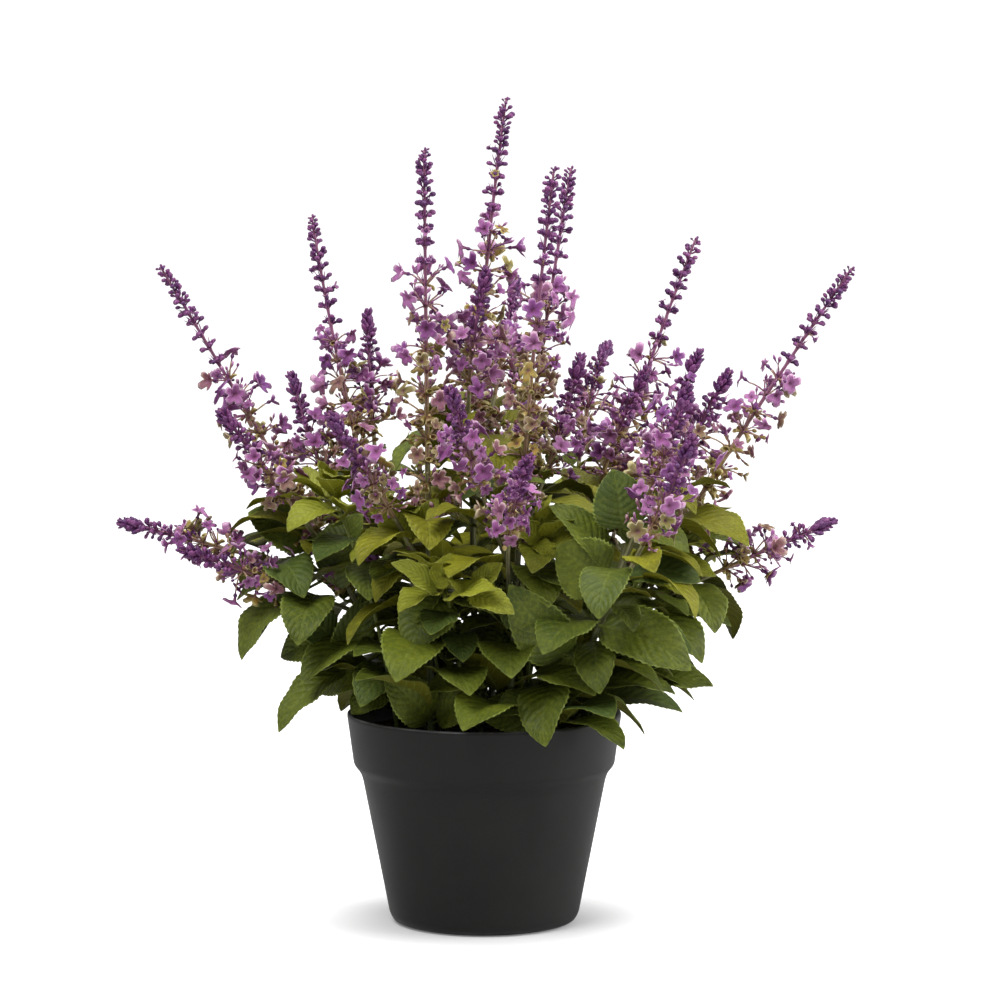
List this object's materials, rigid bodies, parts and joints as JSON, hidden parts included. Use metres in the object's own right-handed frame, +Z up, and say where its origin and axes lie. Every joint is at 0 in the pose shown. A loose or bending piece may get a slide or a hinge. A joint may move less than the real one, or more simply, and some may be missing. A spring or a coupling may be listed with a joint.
{
  "type": "potted salvia",
  "caption": "Bushy salvia with square leafy stems, lime young shoots and violet flower spikes, growing in a tapered round black pot filled with soil.",
  "frame": {"origin": "centre of the pot's flat underside", "axes": "+Z up along the pot's axis, +Y away from the viewer of the picture, +X to the right"},
  "size_m": [0.3977, 0.2773, 0.444],
  "materials": {
    "pot": "matte charcoal black with a fine even grain",
    "soil": "dark crumbly potting mix",
    "leaf": "mid to dark green, quilted, with a soft sheen",
    "lime": "yellow-green young leaves with a soft sheen",
    "bloom": "violet buds and flowers on a purple to olive stalk"
  },
  "bodies": {
    "root": {"pot": "pot", "soil": "soil", "leafy_stem_back": "leaf", "leafy_stem_centre": "leaf", "leafy_stem_front": "leaf", "leafy_stem_front_right": "leaf", "leafy_stem_left": "leaf", "leafy_stem_left_back": "leaf", "leafy_stem_left_front": "leaf", "leafy_stem_right": "leaf", "leafy_stem_right_back": "leaf", "lime_shoot_1": "lime", "lime_shoot_2": "lime", "lime_shoot_3": "lime", "lime_shoot_4": "lime", "lime_shoot_5": "lime", "lime_shoot_6": "lime", "lime_shoot_7": "lime", "lime_shoot_8": "lime", "tall_spike_back": "bloom", "tall_spike_centre": "bloom", "tall_spike_front": "bloom", "tall_spike_left": "bloom", "tall_spike_left_back": "bloom", "tall_spike_left_front": "bloom", "tall_spike_right": "bloom", "tall_spike_right_back": "bloom", "short_spike_back_1": "bloom", "short_spike_back_2": "bloom", "short_spike_centre_1": "bloom", "short_spike_centre_2": "bloom", "short_spike_front_1": "bloom", "short_spike_front_2": "bloom", "short_spike_front_3": "bloom", "short_spike_front_right_1": "bloom", "short_spike_front_right_2": "bloom", "short_spike_front_right_3": "bloom", "short_spike_left_1": "bloom", "short_spike_left_2": "bloom", "short_spike_left_3": "bloom", "short_spike_left_back_1": "bloom", "short_spike_left_back_2": "bloom", "short_spike_left_front_1": "bloom", "short_spike_right_1": "bloom", "short_spike_right_2": "bloom", "short_spike_right_back_1": "bloom", "short_spike_right_back_2": "bloom"}
  },
  "joints": []
}
